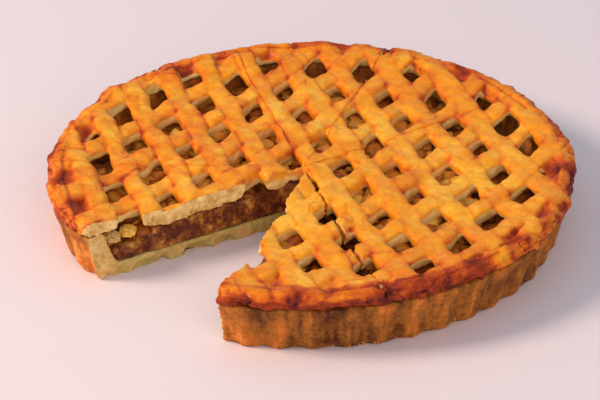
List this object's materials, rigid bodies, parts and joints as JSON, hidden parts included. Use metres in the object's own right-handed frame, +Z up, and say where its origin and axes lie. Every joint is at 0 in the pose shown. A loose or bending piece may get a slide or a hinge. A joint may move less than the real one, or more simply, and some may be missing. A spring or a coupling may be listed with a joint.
{
  "type": "apple tart",
  "caption": "Round deep apple tart with a fluted crust and woven lattice top, one slice missing and one cut free in place.",
  "frame": {"origin": "middle of the tart on its flat base", "axes": "+Z up through the tart, -Y towards the front with the missing slice and the loose slice, +X to the right"},
  "size_m": [0.2819, 0.2829, 0.0378],
  "materials": {
    "crust": "baked shortcrust, dry and slightly rough",
    "filling": "moist cooked apple",
    "lattice": "egg-washed pastry, half gloss",
    "crumb": "pale dry crumb",
    "apple": "moist apple flesh"
  },
  "bodies": {
    "root": {"shell_main": "crust", "shell_slice": "crust", "filling_main": "filling", "filling_slice": "filling", "lattice_main": "lattice", "lattice_slice": "lattice", "pastry_scrap": "crumb", "apple_chunk": "apple"}
  },
  "joints": []
}
